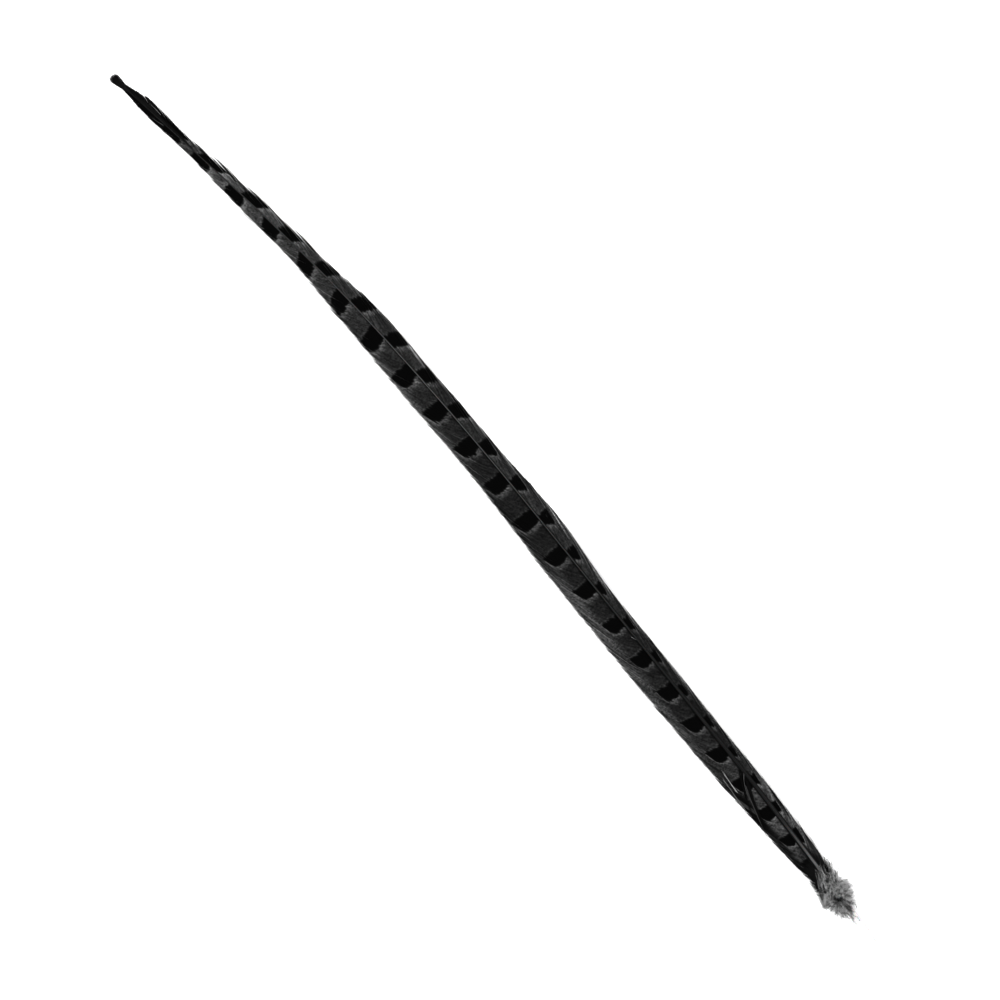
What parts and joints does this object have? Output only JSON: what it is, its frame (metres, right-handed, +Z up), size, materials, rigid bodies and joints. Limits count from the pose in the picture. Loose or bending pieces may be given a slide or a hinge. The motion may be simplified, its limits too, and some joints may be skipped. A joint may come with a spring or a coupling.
{
  "type": "pheasant tail feather",
  "caption": "Long, narrow barred tail feather with a bowed shaft, a broad and a narrow vane, a bare quill and a downy tuft at its foot.",
  "frame": {"origin": "middle of the bounding box, on the surface that the feather lies on", "axes": "+Y from the quill's end to the tip, +Z up from the surface to the feather's back, +X to the side of the narrow vane"},
  "size_m": [0.0278, 0.5496, 0.0069],
  "materials": {
    "vane": "soft satin, barred in near black and dark grey",
    "quill": "smooth translucent horn, near white at its end and grey along the shaft",
    "down": "soft matte grey"
  },
  "bodies": {
    "root": {"tail_feather": "vane"}
  },
  "joints": []
}
